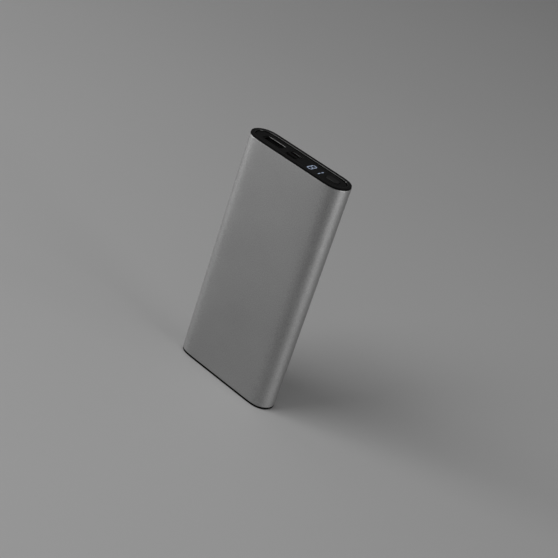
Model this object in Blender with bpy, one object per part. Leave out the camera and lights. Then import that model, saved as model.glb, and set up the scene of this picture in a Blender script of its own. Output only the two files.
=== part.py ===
"""Slim power bank: aluminium tube, moulded end caps, socket row, lit display and push button.

The bank stands on its lower cover at z = 0, with the sockets up (+Z), the front face at -Y
and the width along X. Every size below is in metres.
"""

import math

import bmesh
import bpy
from mathutils import Vector

# Extruded tube
TUBE_WIDTH = 0.0680
TUBE_THICKNESS = 0.0170
TUBE_LENGTH = 0.1366
TUBE_WALL = 0.0012
TUBE_EDGE = 0.0003

# Clearances: sliding fit, visible seam, and the film under a seated or glued piece
FIT = 0.00015
SEAM = 0.0001
SEAT = 0.0001

# Upper end cap
RIM_HEIGHT = 0.0009
RIM_WIDTH = 0.0025
RIM_ROUND = 0.0005
CAP_INSET = 0.00025
FASCIA_RECESS = 0.0005
FASCIA_THICKNESS = 0.0010
FASCIA_EDGE = 0.00012
TAPE_THICKNESS = 0.00015
FLOOR_THICKNESS = 0.0016
SKIRT_WALL = 0.0010
SKIRT_DEPTH = 0.0050
SKIRT_LENGTH = 0.0400

# Lower end cap
COVER_HEIGHT = 0.0013
COVER_ROUND = 0.0003
FRAME_HEIGHT = 0.0032
FRAME_RIM = 0.0026
PAD_HEIGHT = 0.0010

# Hidden screws
SCREW_DIAMETER = 0.0016
SCREW_LENGTH = 0.0060
SCREW_HEAD = 0.0028
SCREW_HEAD_HEIGHT = 0.0008
SCREW_MARGIN = 0.0003
SCREW_RECESS = 0.0009

# Gaps along the socket row; they share out whatever width the fascia leaves
END_GAP = 0.0022
SMALL_PORT_GAP = 0.0034
DISPLAY_GAP = 0.0055
BUTTON_GAP = 0.0014
PORT_SINK = 0.00015

# Full-size socket
USB_A_WIDTH = 0.0125
USB_A_HEIGHT = 0.00512
USB_A_DEPTH = 0.0138
USB_A_CORNER = 0.0004
TONGUE_A_WIDTH = 0.0111
TONGUE_A_THICKNESS = 0.00184
TONGUE_A_SIDE_GAP = 0.00055
TONGUE_A_SINK = 0.0010
SPRING_WIDTH = 0.0022
SPRING_LENGTH = 0.0045
SPRING_SPACING = 0.0056
SPRING_SINK = 0.0045
CONTACT_WIDTH = 0.0010
CONTACT_PITCH = 0.0023
CONTACT_LENGTH = 0.0066
CONTACT_THICKNESS = 0.00025

# Small sockets
USB_C_WIDTH = 0.00834
USB_C_HEIGHT = 0.00256
USB_C_DEPTH = 0.0073
USB_C_OFFSET = 0.00125
TONGUE_C_WIDTH = 0.00669
TONGUE_C_THICKNESS = 0.0007
TONGUE_C_SINK = 0.0009
MICRO_WIDTH = 0.0069
MICRO_HEIGHT = 0.00185
MICRO_DEPTH = 0.0056
MICRO_CHAMFER = 0.0007
TONGUE_M_WIDTH = 0.0037
TONGUE_M_THICKNESS = 0.0006
TONGUE_M_SINK = 0.0006
SHELL_WALL = 0.0003
PORT_BASE = 0.0018

# Two-digit display
DIGIT_HEIGHT = 0.0068
DIGIT_WIDTH = 0.0033
DIGIT_PITCH = 0.0049
STROKE = 0.0006
STROKE_GAP = 0.0003
DISPLAY_OFFSET = -0.0005
WINDOW_MARGIN = 0.0005
WINDOW_CORNER = 0.0005
WINDOW_FLANGE = 0.0005
WINDOW_STEP = 0.0005
GASKET_THICKNESS = 0.0008
GASKET_WIDTH = 0.0008
HOUSING_FACE = 0.0008
HOUSING_DEPTH = 0.0040
HOUSING_WALL = 0.0007
DIFFUSER_PLATE = 0.0010

# Push button and its switch
BUTTON_LENGTH = 0.0080
BUTTON_WIDTH = 0.0041
BUTTON_PROUD = 0.00035
BUTTON_ROUND = 0.00025
BUTTON_FLANGE = 0.0005
BUTTON_STEP = 0.0006
BUTTON_TRAVEL = 0.0003
STEM_LENGTH = 0.0026
STEM_WIDTH = 0.0018
SWITCH_LENGTH = 0.0060
SWITCH_HEIGHT = 0.0035
SWITCH_DEPTH = 0.0035
SWITCH_DROP = 0.0016
PLUNGER_DIAMETER = 0.0016
PLUNGER_HEIGHT = 0.0008
PLUNGER_ROOT = 0.0006

# Board and what it carries
BOARD_THICKNESS = 0.0010
BOARD_LENGTH = 0.0270
BOARD_DROP = 0.0006
SLOT_DEPTH = 0.0008
INDUCTOR_SIZE = 0.0068
INDUCTOR_HEIGHT = 0.0042
INDUCTOR_CORNER = 0.0010
CHIP_SIZE = 0.0060
CHIP_HEIGHT = 0.0009
MOSFET_SIZE = 0.0033
MOSFET_HEIGHT = 0.0010
CAN_DIAMETER = 0.0050
CAN_HEIGHT = 0.0045
CERAMIC_LENGTH = 0.0032
CERAMIC_WIDTH = 0.0016
CERAMIC_HEIGHT = 0.0015

# Tray and cells
RAIL_WIDTH = 0.0050
CROSS_BAR = 0.0016
NOTCH_WIDTH = 0.0260
NOTCH_HEIGHT = 0.0070
PAD_FOAM = 0.0012
TAPE_CELL = 0.0002
CELL_FIT = 0.0003
CELL_ROUND = 0.0012
TERRACE_LENGTH = 0.0040
TERRACE_THICKNESS = 0.0004
TAB_LENGTH = 0.0040
TAB_WIDTH = 0.0050
TAB_THICKNESS = 0.0002
TAB_SPACING = 0.0200
STRIP_LENGTH = 0.0040
STRIP_THICKNESS = 0.0002
WIRE_DIAMETER = 0.0016
WIRE_REACH = 0.0050
WIRE_RUN = 0.0045
SHEET_THICKNESS = 0.0002

TUBE_STEPS = 16
SMALL_STEPS = 6
OVER = 0.001

# Levels that follow from the sizes above
TUBE_BASE = COVER_HEIGHT
TUBE_TOP = TUBE_BASE + TUBE_LENGTH
RIM_TOP = TUBE_TOP + RIM_HEIGHT
FASCIA_TOP = RIM_TOP - FASCIA_RECESS
FASCIA_BASE = FASCIA_TOP - FASCIA_THICKNESS
FLOOR_TOP = FASCIA_BASE - TAPE_THICKNESS - 2 * SEAT
FLOOR_BASE = FLOOR_TOP - FLOOR_THICKNESS
PORT_MOUTH = FASCIA_TOP - PORT_SINK
BOARD_TOP = FLOOR_BASE - BOARD_DROP
BOARD_BASE = BOARD_TOP - BOARD_LENGTH
FRAME_TOP = TUBE_BASE + FRAME_HEIGHT
TRAY_BASE = FRAME_TOP + SEAT
TRAY_TOP = FLOOR_BASE - SEAT
BAR_TOP = BOARD_BASE - SEAT
BAR_BASE = BAR_TOP - CROSS_BAR
BAY_BASE = TRAY_BASE + CROSS_BAR

# Half sizes inside the tube
INNER_HALF_WIDTH = TUBE_WIDTH / 2 - TUBE_WALL
INNER_HALF_THICKNESS = TUBE_THICKNESS / 2 - TUBE_WALL
BAY_HALF_WIDTH = INNER_HALF_WIDTH - FIT - RAIL_WIDTH
RECESS_HALF_WIDTH = TUBE_WIDTH / 2 - RIM_WIDTH
SCREW_X = RECESS_HALF_WIDTH - SCREW_MARGIN - SCREW_HEAD / 2
PILOT = SCREW_DIAMETER + 2 * SEAT

# Outer sizes of the pieces in the socket row
SHELL_A_WIDTH = USB_A_WIDTH + 2 * SHELL_WALL
SHELL_A_HEIGHT = USB_A_HEIGHT + 2 * SHELL_WALL
SHELL_C_WIDTH = USB_C_WIDTH + 2 * SHELL_WALL
SHELL_C_HEIGHT = USB_C_HEIGHT + 2 * SHELL_WALL
SHELL_M_WIDTH = MICRO_WIDTH + 2 * SHELL_WALL
SHELL_M_HEIGHT = MICRO_HEIGHT + 2 * SHELL_WALL
WINDOW_WIDTH = DIGIT_PITCH + DIGIT_WIDTH + 2 * WINDOW_MARGIN
WINDOW_HEIGHT = DIGIT_HEIGHT + 2 * WINDOW_MARGIN
FLANGE_WIDTH = WINDOW_WIDTH + 2 * WINDOW_STEP
FLANGE_HEIGHT = WINDOW_HEIGHT + 2 * WINDOW_STEP

# Places along the row, from the left end
ROW_WIDTHS = (
    SHELL_A_WIDTH + 2 * FIT,
    SHELL_C_WIDTH + 2 * FIT,
    FLANGE_WIDTH + 2 * FIT,
    BUTTON_LENGTH + 2 * (BUTTON_STEP + FIT),
)
ROW_GAPS = (END_GAP, SMALL_PORT_GAP, DISPLAY_GAP, BUTTON_GAP)
ROW_MARGIN = 3 * SCREW_MARGIN + SCREW_HEAD
ROW_SPREAD = (2 * (RECESS_HALF_WIDTH - ROW_MARGIN) - sum(ROW_WIDTHS)) / sum(ROW_GAPS)


def row_place(index):
    before = sum(ROW_WIDTHS[:index]) + ROW_SPREAD * sum(ROW_GAPS[: index + 1])
    return -RECESS_HALF_WIDTH + ROW_MARGIN + before + ROW_WIDTHS[index] / 2


USB_A_X = row_place(0)
USB_C_X = row_place(1)
DISPLAY_X = row_place(2)
BUTTON_X = row_place(3)

# The board lies between the two small sockets
BOARD_BACK = USB_C_OFFSET - SHELL_C_HEIGHT / 2 - SEAT
BOARD_FRONT = BOARD_BACK - BOARD_THICKNESS
BOARD_Y = (BOARD_BACK + BOARD_FRONT) / 2
MICRO_OFFSET = BOARD_FRONT - SEAT - SHELL_M_HEIGHT / 2
HOUSING_TOP = FLOOR_TOP - WINDOW_FLANGE - 2 * SEAT - GASKET_THICKNESS
SWITCH_TOP = FLOOR_BASE - SWITCH_DROP
SWITCH_Y = BOARD_BACK + SEAT + SWITCH_DEPTH / 2


def clear_scene():
    for item in list(bpy.data.objects):
        bpy.data.objects.remove(item, do_unlink=True)


def new_collection(name):
    group = bpy.data.collections.new(name)
    bpy.context.scene.collection.children.link(group)
    return group


def material(name, colour, roughness, metallic=0.0):
    made = bpy.data.materials.new(name)
    made.use_nodes = True
    shader = made.node_tree.nodes["Principled BSDF"]
    shader.inputs["Base Color"].default_value = (*colour, 1.0)
    shader.inputs["Roughness"].default_value = roughness
    shader.inputs["Metallic"].default_value = metallic
    return made


def rounded(width, height, radius, centre=(0.0, 0.0), steps=SMALL_STEPS):
    """Outline of a rounded rectangle, counter-clockwise."""
    points = []
    corners = ((1, -1, -90), (1, 1, 0), (-1, 1, 90), (-1, -1, 180))
    for side, end, start in corners:
        x = side * (width / 2 - radius)
        y = end * (height / 2 - radius)
        for step in range(steps + 1):
            angle = math.radians(start + 90 * step / steps)
            point = (
                centre[0] + x + radius * math.cos(angle),
                centre[1] + y + radius * math.sin(angle),
            )
            if not points or math.dist(points[-1], point) > 1e-8:
                points.append(point)
    if math.dist(points[0], points[-1]) < 1e-8:
        points.pop()
    return points


def pill(width, height, centre=(0.0, 0.0)):
    return rounded(width, height, height / 2, centre)


def tube_outline(inset):
    width, height = TUBE_WIDTH - 2 * inset, TUBE_THICKNESS - 2 * inset
    return rounded(width, height, height / 2, steps=TUBE_STEPS)


def rectangle(width, height, centre=(0.0, 0.0)):
    x, y = centre
    return [
        (x + side * width / 2, y + end * height / 2)
        for side, end in ((1, -1), (1, 1), (-1, 1), (-1, -1))
    ]


def circle(diameter, centre=(0.0, 0.0)):
    return pill(diameter, diameter, centre)


def prism(outlines, base, top):
    """Closed mesh of flat outlines raised from base to top; an outline inside another is a hole."""
    curve = bpy.data.curves.new("outline", "CURVE")
    curve.dimensions = "2D"
    curve.fill_mode = "BOTH"
    curve.extrude = (top - base) / 2
    for outline in outlines:
        spline = curve.splines.new("POLY")
        spline.points.add(len(outline) - 1)
        for point, (x, y) in zip(spline.points, outline):
            point.co = (x, y, 0.0, 1.0)
        spline.use_cyclic_u = True
    guide = bpy.data.objects.new("outline", curve)
    bpy.context.scene.collection.objects.link(guide)
    graph = bpy.context.evaluated_depsgraph_get()
    mesh = bpy.data.meshes.new_from_object(guide.evaluated_get(graph))
    bpy.data.objects.remove(guide)
    bpy.data.curves.remove(curve)
    shape = bmesh.new()
    shape.from_mesh(mesh)
    bmesh.ops.remove_doubles(shape, verts=shape.verts, dist=1e-6)
    bmesh.ops.translate(shape, verts=shape.verts, vec=(0.0, 0.0, (top + base) / 2))
    bmesh.ops.recalc_face_normals(shape, faces=shape.faces)
    if len(outlines) == 1:
        bmesh.ops.dissolve_limit(
            shape, angle_limit=1e-3, verts=shape.verts, edges=shape.edges
        )
    shape.to_mesh(mesh)
    shape.free()
    return mesh


def box(width, depth, base, top, centre=(0.0, 0.0)):
    return prism([rectangle(width, depth, centre)], base, top)


def round_edges(mesh, radius, segments, levels):
    """Bevel the sharp edges that lie flat at one of the given heights."""
    shape = bmesh.new()
    shape.from_mesh(mesh)
    picked = [
        edge
        for edge in shape.edges
        if len(edge.link_faces) == 2
        and edge.calc_face_angle() > 0.8
        and any(all(abs(v.co.z - level) < 1e-6 for v in edge.verts) for level in levels)
    ]
    bmesh.ops.bevel(
        shape,
        geom=picked,
        offset=radius,
        offset_type="OFFSET",
        segments=segments,
        profile=0.5,
        affect="EDGES",
        clamp_overlap=True,
    )
    shape.to_mesh(mesh)
    shape.free()
    return mesh


def put(name, mesh, group, finish=None, parent=None, place=(0.0, 0.0, 0.0)):
    item = bpy.data.objects.new(name, mesh)
    group.objects.link(item)
    item.location = place
    item.parent = parent
    mesh.materials.clear()
    if finish:
        mesh.materials.append(finish)
    return item


def part(name, mesh, finish, parent=None, place=(0.0, 0.0, 0.0)):
    return put(name, mesh, PARTS, finish, parent or BANK, place)


def helper(name, mesh, parent=None, place=(0.0, 0.0, 0.0)):
    item = put(name, mesh, CUTTERS, None, parent or BANK, place)
    item.hide_render = True
    item.display_type = "WIRE"
    return item


def combine(item, tool, operation):
    step = item.modifiers.new(operation.lower(), "BOOLEAN")
    step.operation = operation
    step.solver = "EXACT"
    step.object = tool


def cut(item, *tools):
    for tool in tools:
        combine(item, tool, "DIFFERENCE")


def join(item, *tools):
    for tool in tools:
        combine(item, tool, "UNION")


def frame(name, place, turn=(0.0, 0.0, 0.0)):
    empty = bpy.data.objects.new(name, None)
    PARTS.objects.link(empty)
    empty.location = place
    empty.rotation_euler = turn
    empty.parent = BANK
    return empty


def trapezoid(width, height, chamfer):
    """Micro socket outline: the two corners at the front are cut back."""
    w, h = width / 2, height / 2
    return [
        (w - chamfer, -h),
        (w, -h + chamfer),
        (w, h),
        (-w, h),
        (-w, -h + chamfer),
        (-w + chamfer, -h),
    ]


def row_openings(play):
    """Outlines of the openings that the sockets, the window and the button need."""
    return [
        rounded(
            SHELL_A_WIDTH + 2 * play,
            SHELL_A_HEIGHT + 2 * play,
            USB_A_CORNER + SHELL_WALL + play,
            (USB_A_X, 0.0),
        ),
        pill(SHELL_C_WIDTH + 2 * play, SHELL_C_HEIGHT + 2 * play, (USB_C_X, USB_C_OFFSET)),
        [
            (USB_C_X + x, MICRO_OFFSET + y)
            for x, y in trapezoid(
                SHELL_M_WIDTH + 2 * play, SHELL_M_HEIGHT + 2 * play, MICRO_CHAMFER + SHELL_WALL
            )
        ],
    ]


def tube_shell():
    mesh = prism([tube_outline(0.0), tube_outline(TUBE_WALL)], TUBE_BASE, TUBE_TOP)
    round_edges(mesh, TUBE_EDGE, 1, (TUBE_BASE, TUBE_TOP))
    part("tube_shell", mesh, FINISH["aluminium"])


def top_bezel():
    lip = TUBE_TOP + SEAM
    mesh = prism([tube_outline(CAP_INSET)], lip, RIM_TOP)
    round_edges(mesh, RIM_ROUND, 3, (RIM_TOP,))
    bezel = part("top_bezel", mesh, FINISH["cap_plastic"])
    plug = prism([tube_outline(TUBE_WALL + FIT)], FLOOR_BASE, lip + SEAM)
    join(bezel, helper("bezel_plug", plug))
    recess = prism([tube_outline(RIM_WIDTH)], FLOOR_TOP, RIM_TOP + OVER)
    cut(bezel, helper("bezel_recess", recess))
    for side, word in ((-1, "front"), (1, "back")):
        middle = side * (INNER_HALF_THICKNESS - FIT - SKIRT_WALL / 2)
        skirt = box(
            SKIRT_LENGTH, SKIRT_WALL, FLOOR_BASE - SKIRT_DEPTH, FLOOR_BASE + OVER / 2, (0.0, middle)
        )
        join(bezel, helper(f"bezel_skirt_{word}", skirt))
    base, top = FLOOR_BASE - OVER, FLOOR_TOP + OVER
    port = rectangle(SHELL_A_WIDTH + 2 * FIT, SHELL_A_HEIGHT + 2 * FIT, (USB_A_X, 0.0))
    cut(bezel, helper("floor_large_port", prism([port], base, top)))
    back = USB_C_OFFSET + SHELL_C_HEIGHT / 2 + FIT
    front = MICRO_OFFSET - SHELL_M_HEIGHT / 2 - FIT
    pair = rectangle(SHELL_C_WIDTH + 2 * FIT, back - front, (USB_C_X, (back + front) / 2))
    cut(bezel, helper("floor_small_ports", prism([pair], base, top)))
    window = rectangle(
        FLANGE_WIDTH + 2 * FIT, FLANGE_HEIGHT + 2 * FIT, (DISPLAY_X, DISPLAY_OFFSET)
    )
    cut(bezel, helper("floor_window", prism([window], base, top)))
    well = pill(
        BUTTON_LENGTH + 2 * (BUTTON_STEP + FIT),
        BUTTON_WIDTH + 2 * (BUTTON_STEP + FIT),
        (BUTTON_X, 0.0),
    )
    cut(bezel, helper("floor_button", prism([well], base, top)))
    for side in (-1, 1):
        bore = circle(PILOT, (side * SCREW_X, 0.0))
        seat = circle(SCREW_HEAD + 2 * FIT, (side * SCREW_X, 0.0))
        cut(bezel, helper("bezel_bore", prism([bore], base, top)))
        cut(bezel, helper("bezel_seat", prism([seat], FLOOR_TOP - SCREW_RECESS, top)))


def fascia():
    play = FIT
    outline = tube_outline(RIM_WIDTH + FIT)
    window = rounded(
        WINDOW_WIDTH + 2 * SEAM,
        WINDOW_HEIGHT + 2 * SEAM,
        WINDOW_CORNER + SEAM,
        (DISPLAY_X, DISPLAY_OFFSET),
    )
    hole = pill(BUTTON_LENGTH + 2 * FIT, BUTTON_WIDTH + 2 * FIT, (BUTTON_X, 0.0))
    mesh = prism([outline, *row_openings(play), window, hole], FASCIA_BASE, FASCIA_TOP)
    round_edges(mesh, FASCIA_EDGE, 1, (FASCIA_TOP,))
    part("fascia_panel", mesh, FINISH["fascia_plastic"])

    flange = rectangle(
        FLANGE_WIDTH + 2 * FIT, FLANGE_HEIGHT + 2 * FIT, (DISPLAY_X, DISPLAY_OFFSET)
    )
    well = pill(
        BUTTON_LENGTH + 2 * (BUTTON_STEP + FIT),
        BUTTON_WIDTH + 2 * (BUTTON_STEP + FIT),
        (BUTTON_X, 0.0),
    )
    film = prism(
        [outline, *row_openings(play), flange, well],
        FLOOR_TOP + SEAT,
        FLOOR_TOP + SEAT + TAPE_THICKNESS,
    )
    part("fascia_tape", film, FINISH["adhesive"])


def digit_bars(centre_x, centre_y, stroke):
    """Seven pointed bars of one digit, narrowed to the given stroke."""
    tall = DIGIT_HEIGHT - STROKE
    wide = DIGIT_WIDTH - STROKE
    bars = []
    for y in (tall / 2, 0.0, -tall / 2):
        reach = wide / 2 - STROKE_GAP / math.sqrt(2) - (STROKE - stroke) / 2
        bars.append(
            [
                (centre_x + x, centre_y + y + rise)
                for x, rise in (
                    (-reach, 0.0),
                    (-reach + stroke / 2, -stroke / 2),
                    (reach - stroke / 2, -stroke / 2),
                    (reach, 0.0),
                    (reach - stroke / 2, stroke / 2),
                    (-reach + stroke / 2, stroke / 2),
                )
            ]
        )
    for x in (-wide / 2, wide / 2):
        for middle in (tall / 4, -tall / 4):
            reach = tall / 4 - STROKE_GAP / math.sqrt(2) - (STROKE - stroke) / 2
            bars.append(
                [
                    (centre_x + x + side, centre_y + middle + y)
                    for side, y in (
                        (0.0, -reach),
                        (stroke / 2, -reach + stroke / 2),
                        (stroke / 2, reach - stroke / 2),
                        (0.0, reach),
                        (-stroke / 2, reach - stroke / 2),
                        (-stroke / 2, -reach + stroke / 2),
                    )
                ]
            )
    return bars


def display():
    block = frame("display", (DISPLAY_X, DISPLAY_OFFSET, 0.0))
    pane = prism([rounded(WINDOW_WIDTH, WINDOW_HEIGHT, WINDOW_CORNER)], FLOOR_TOP - SEAT, FASCIA_TOP)
    window = part("display_window", pane, FINISH["smoked_window"], block)
    flange = box(FLANGE_WIDTH, FLANGE_HEIGHT, FLOOR_TOP - WINDOW_FLANGE, FLOOR_TOP)
    join(window, helper("window_flange", flange, block))

    foam = HOUSING_TOP + SEAT
    outer = rectangle(FLANGE_WIDTH, FLANGE_HEIGHT)
    inner = rectangle(FLANGE_WIDTH - 2 * GASKET_WIDTH, FLANGE_HEIGHT - 2 * GASKET_WIDTH)
    ring = prism([outer, inner], foam, foam + GASKET_THICKNESS)
    part("display_gasket", ring, FINISH["foam"], block)

    slots, lights = [], []
    for x in (-DIGIT_PITCH / 2, DIGIT_PITCH / 2):
        slots += digit_bars(x, 0.0, STROKE + STROKE_GAP / 3)
        lights += digit_bars(x, 0.0, STROKE)
    face = prism([outer, *slots], HOUSING_TOP - HOUSING_FACE, HOUSING_TOP)
    housing = part("display_housing", face, FINISH["display_plastic"], block)
    hollow = rectangle(FLANGE_WIDTH - 2 * HOUSING_WALL, FLANGE_HEIGHT - 2 * HOUSING_WALL)
    walls = prism([outer, hollow], HOUSING_TOP - HOUSING_DEPTH, HOUSING_TOP - HOUSING_FACE / 2)
    join(housing, helper("housing_walls", walls, block))

    plate_top = HOUSING_TOP - HOUSING_FACE - SEAT
    plate = box(
        FLANGE_WIDTH - 2 * (HOUSING_WALL + FIT),
        FLANGE_HEIGHT - 2 * (HOUSING_WALL + FIT),
        plate_top - DIFFUSER_PLATE,
        plate_top,
    )
    diffuser = part("segment_diffuser", plate, FINISH["diffuser"], block)
    bars = prism(lights, plate_top - DIFFUSER_PLATE / 2, HOUSING_TOP)
    join(diffuser, helper("segment_bars", bars, block))


def push_button():
    block = frame("button_seat", (BUTTON_X, 0.0, FASCIA_TOP))
    bottom = FLOOR_TOP - FASCIA_TOP
    flange_base = bottom - BUTTON_FLANGE
    cap = prism([pill(BUTTON_LENGTH, BUTTON_WIDTH)], bottom - SEAT, BUTTON_PROUD)
    round_edges(cap, BUTTON_ROUND, 3, (BUTTON_PROUD,))
    button = part("power_button", cap, FINISH["button_plastic"], block)
    flange = pill(BUTTON_LENGTH + 2 * BUTTON_STEP, BUTTON_WIDTH + 2 * BUTTON_STEP)
    join(button, helper("button_flange", prism([flange], flange_base, bottom), block))
    plunger_top = SWITCH_TOP + PLUNGER_HEIGHT - FASCIA_TOP
    stem = box(
        STEM_LENGTH, STEM_WIDTH, plunger_top + SEAT, flange_base + BUTTON_FLANGE / 2, (0.0, SWITCH_Y)
    )
    join(button, helper("button_stem", stem, block))

    switch_top = SWITCH_TOP - FASCIA_TOP
    body = box(
        SWITCH_LENGTH, SWITCH_DEPTH, switch_top - SWITCH_HEIGHT, switch_top, (0.0, SWITCH_Y)
    )
    switch = part("switch_body", body, FINISH["switch_plastic"], block)
    root = switch_top - PLUNGER_ROOT
    bore = circle(PLUNGER_DIAMETER + 2 * FIT, (0.0, SWITCH_Y))
    well = prism([bore], root - BUTTON_TRAVEL - FIT, switch_top + OVER)
    cut(switch, helper("switch_bore", well, block))
    pin = prism([circle(PLUNGER_DIAMETER)], root - switch_top, PLUNGER_HEIGHT)
    part("switch_plunger", pin, FINISH["plunger_plastic"], block, (0.0, SWITCH_Y, switch_top))


def usb_a_port():
    port = frame("usb_a_port", (USB_A_X, 0.0, PORT_MOUTH))
    outer = rounded(SHELL_A_WIDTH, SHELL_A_HEIGHT, USB_A_CORNER + SHELL_WALL)
    inner = rounded(USB_A_WIDTH, USB_A_HEIGHT, USB_A_CORNER)
    shell = prism([outer, inner], -USB_A_DEPTH, 0.0)
    shield = part("usb_a_shell", shell, FINISH["port_steel"], port)
    for x in (-SPRING_SPACING / 2, SPRING_SPACING / 2):
        slot = box(
            SPRING_WIDTH,
            2 * SHELL_A_HEIGHT,
            -SPRING_SINK - SPRING_LENGTH,
            -SPRING_SINK,
            (x, 0.0),
        )
        cut(shield, helper("usb_a_spring_slot", slot, port))

    base = rounded(USB_A_WIDTH - 2 * SEAT, USB_A_HEIGHT - 2 * SEAT, USB_A_CORNER)
    block = prism([base], -USB_A_DEPTH, -USB_A_DEPTH + PORT_BASE)
    insulator = part("usb_a_insulator", block, FINISH["insulator"], port)
    tongue_y = USB_A_HEIGHT / 2 - TONGUE_A_SIDE_GAP - TONGUE_A_THICKNESS / 2
    tongue = box(
        TONGUE_A_WIDTH,
        TONGUE_A_THICKNESS,
        -USB_A_DEPTH + PORT_BASE / 2,
        -TONGUE_A_SINK,
        (0.0, tongue_y),
    )
    join(insulator, helper("usb_a_tongue", tongue, port))
    face = tongue_y - TONGUE_A_THICKNESS / 2 - SEAT / 2
    for index in range(4):
        x = (index - 1.5) * CONTACT_PITCH
        blade = box(
            CONTACT_WIDTH, CONTACT_THICKNESS, -CONTACT_LENGTH, 0.0, (x, face - CONTACT_THICKNESS / 2)
        )
        part(
            f"usb_a_contact_{index + 1}",
            blade,
            FINISH["contact_gold"],
            port,
            (0.0, 0.0, -TONGUE_A_SINK - CONTACT_WIDTH),
        )


def small_ports():
    port = frame("usb_c_port", (USB_C_X, USB_C_OFFSET, PORT_MOUTH))
    outer, inner = pill(SHELL_C_WIDTH, SHELL_C_HEIGHT), pill(USB_C_WIDTH, USB_C_HEIGHT)
    part("usb_c_shell", prism([outer, inner], -USB_C_DEPTH, 0.0), FINISH["port_steel"], port)
    base = pill(USB_C_WIDTH - 2 * SEAT, USB_C_HEIGHT - 2 * SEAT)
    block = prism([base], -USB_C_DEPTH, -USB_C_DEPTH + PORT_BASE)
    insulator = part("usb_c_insulator", block, FINISH["insulator"], port)
    tongue = box(
        TONGUE_C_WIDTH, TONGUE_C_THICKNESS, -USB_C_DEPTH + PORT_BASE / 2, -TONGUE_C_SINK
    )
    join(insulator, helper("usb_c_tongue", tongue, port))

    port = frame("micro_usb_port", (USB_C_X, MICRO_OFFSET, PORT_MOUTH))
    outer = trapezoid(SHELL_M_WIDTH, SHELL_M_HEIGHT, MICRO_CHAMFER + SHELL_WALL)
    inner = trapezoid(MICRO_WIDTH, MICRO_HEIGHT, MICRO_CHAMFER)
    part("micro_usb_shell", prism([outer, inner], -MICRO_DEPTH, 0.0), FINISH["port_steel"], port)
    base = trapezoid(MICRO_WIDTH - 2 * SEAT, MICRO_HEIGHT - 2 * SEAT, MICRO_CHAMFER)
    block = prism([base], -MICRO_DEPTH, -MICRO_DEPTH + PORT_BASE)
    insulator = part("micro_usb_insulator", block, FINISH["insulator"], port)
    tongue = box(
        TONGUE_M_WIDTH,
        TONGUE_M_THICKNESS,
        -MICRO_DEPTH + PORT_BASE / 2,
        -TONGUE_M_SINK,
        (0.0, MICRO_HEIGHT / 2 - SEAT - TONGUE_M_THICKNESS),
    )
    join(insulator, helper("micro_usb_tongue", tongue, port))


def on_board(name, mesh, finish, x, z, side):
    """Seat a piece on one face of the board; its mesh stands along local +Z from 0."""
    face = BOARD_BACK + SEAT if side > 0 else BOARD_FRONT - SEAT
    item = part(name, mesh, finish, None, (x, face, z))
    item.rotation_euler = (-side * math.pi / 2, 0.0, 0.0)
    return item


def circuit_board():
    half = BAY_HALF_WIDTH + SLOT_DEPTH - FIT
    sheet = box(2 * half, BOARD_THICKNESS, BOARD_BASE, BOARD_TOP, (0.0, BOARD_Y))
    board = part("main_board", sheet, FINISH["board"])
    through = 4 * BOARD_THICKNESS
    port_base = PORT_MOUTH - USB_A_DEPTH - FIT
    notch = box(
        SHELL_A_WIDTH + 2 * FIT, through, port_base, BOARD_TOP + OVER, (USB_A_X, BOARD_Y)
    )
    cut(board, helper("board_port_notch", notch))
    notch = box(
        FLANGE_WIDTH + 2 * FIT,
        through,
        HOUSING_TOP - HOUSING_DEPTH - SEAT,
        BOARD_TOP + OVER,
        (DISPLAY_X, BOARD_Y),
    )
    cut(board, helper("board_display_notch", notch))

    low = BOARD_BASE + BOARD_LENGTH / 5
    coil = prism([rounded(INDUCTOR_SIZE, INDUCTOR_SIZE, INDUCTOR_CORNER)], 0.0, INDUCTOR_HEIGHT)
    on_board("inductor", coil, FINISH["ferrite"], BUTTON_X - INDUCTOR_SIZE, low, 1)
    chip = box(CHIP_SIZE, CHIP_SIZE, 0.0, CHIP_HEIGHT)
    on_board("controller_chip", chip, FINISH["chip"], USB_C_X, low, 1)
    for index in (0, 1):
        shift = (1.4 * index + 2.0) * MOSFET_SIZE
        chip = box(MOSFET_SIZE, MOSFET_SIZE, 0.0, MOSFET_HEIGHT)
        on_board(f"mosfet_{index + 1}", chip, FINISH["chip"], USB_C_X + shift, low, 1)
        body = box(CERAMIC_LENGTH, CERAMIC_WIDTH, 0.0, CERAMIC_HEIGHT)
        shift = (1.5 * index + 2.2) * CERAMIC_LENGTH
        on_board(
            f"ceramic_capacitor_{index + 1}", body, FINISH["ceramic"], USB_C_X - shift, low, 1
        )
    can = prism([circle(CAN_DIAMETER)], 0.0, CAN_HEIGHT)
    on_board("bulk_capacitor", can, FINISH["can"], BUTTON_X, low, -1)
    sheet = box(
        TUBE_WIDTH - TUBE_THICKNESS,
        SHEET_THICKNESS,
        BOARD_BASE,
        FLOOR_BASE - SKIRT_DEPTH - OVER / 2,
        (0.0, -INNER_HALF_THICKNESS + SEAT + SHEET_THICKNESS / 2),
    )
    part("insulation_sheet", sheet, FINISH["film"])


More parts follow.
